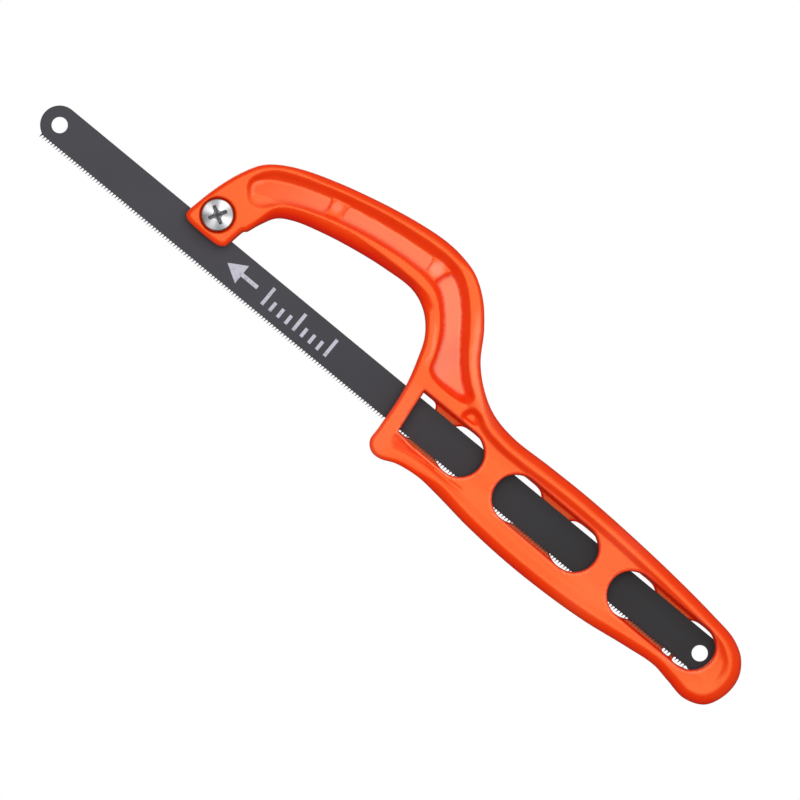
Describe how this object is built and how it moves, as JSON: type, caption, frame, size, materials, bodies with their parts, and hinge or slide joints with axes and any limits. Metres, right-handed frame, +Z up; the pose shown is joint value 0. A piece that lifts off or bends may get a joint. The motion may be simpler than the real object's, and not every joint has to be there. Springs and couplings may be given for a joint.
{
  "type": "hacksaw",
  "caption": "Compact hacksaw: painted cast bow and windowed handle in one piece, fine-toothed blade passing through the handle, cross-recess screw clamping the blade at the nose.",
  "frame": {"origin": "middle of the footprint, at the height of the lowest point, which is the guard toe; Y = 0 is the middle of the blade's thickness", "axes": "+X along the blade from its tip to the handle, +Z up from the teeth to the arm as the saw is held in use, -Y the side the screw head is on"},
  "size_m": [0.2742, 0.016, 0.0644],
  "materials": {
    "orange_paint": "glossy orange paint over die-cast aluminium",
    "blade_paint": "satin dark grey paint over hardened steel, bare tooth tips",
    "plated_steel": "bright zinc plate",
    "plate_steel": "dull zinc plate"
  },
  "bodies": {
    "handle": {"frame": "orange_paint"},
    "blade": {"blade": "blade_paint"},
    "screw": {"clamp_screw": "plated_steel"},
    "clamp": {"clamp_plate": "plate_steel", "clamp_nut": "plated_steel"}
  },
  "joints": [
    {"name": "blade_slide", "type": "slide", "parent": "handle", "child": "blade", "axis": [-1, 0, 0], "range_m": [0, 0.1]},
    {"name": "clamp_open", "type": "slide", "parent": "handle", "child": "clamp", "axis": [0, 1, 0], "range_m": [0, 0.0016]},
    {"name": "screw_turn", "type": "hinge", "parent": "handle", "child": "screw", "pos_m": [-0.07605, 0, 0.02608], "axis": [0, -1, 0], "range_deg": [0, 720]}
  ],
  "couplings": [
    {"joint": "screw_turn", "follows": "clamp_open", "rad_per_m": 7854}
  ]
}
